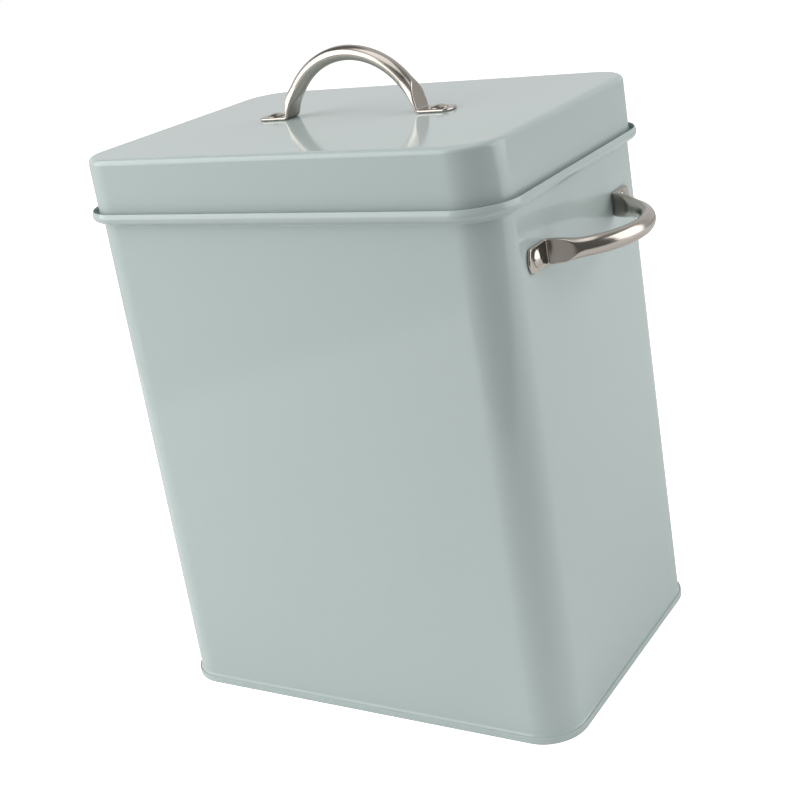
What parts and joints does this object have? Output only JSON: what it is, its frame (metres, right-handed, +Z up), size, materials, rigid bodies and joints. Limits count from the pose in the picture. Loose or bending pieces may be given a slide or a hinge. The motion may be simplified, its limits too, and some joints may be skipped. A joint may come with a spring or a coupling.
{
  "type": "metal laundry powder container",
  "caption": "Upright painted sheet-steel storage tin for washing powder, with a lift-off lid and riveted bow handles on the lid and on both short sides.",
  "frame": {"origin": "centre of the tin's footprint, on the surface that it stands on", "axes": "+X to the tin's right seen from the front, +Y to the back, +Z up; the plain front wall faces -Y and the side handles stand out along X"},
  "size_m": [0.258, 0.1482, 0.2798],
  "materials": {
    "body_paint": "gloss",
    "base_paint": "gloss",
    "lid_paint": "gloss",
    "handle_steel": "satin",
    "rivet_steel": "satin"
  },
  "bodies": {
    "tin": {"body_shell": "body_paint", "base_panel": "base_paint", "side_handle_left": "handle_steel", "side_handle_right": "handle_steel", "left_rivet_front": "rivet_steel", "left_rivet_rear": "rivet_steel", "right_rivet_front": "rivet_steel", "right_rivet_rear": "rivet_steel"},
    "lid": {"lid_shell": "lid_paint", "lid_handle": "handle_steel", "lid_rivet_left": "rivet_steel", "lid_rivet_right": "rivet_steel"}
  },
  "joints": [
    {"name": "lid_lift", "type": "slide", "parent": "tin", "child": "lid", "axis": [0, 0, 1], "range_m": [0, 0.15]}
  ]
}
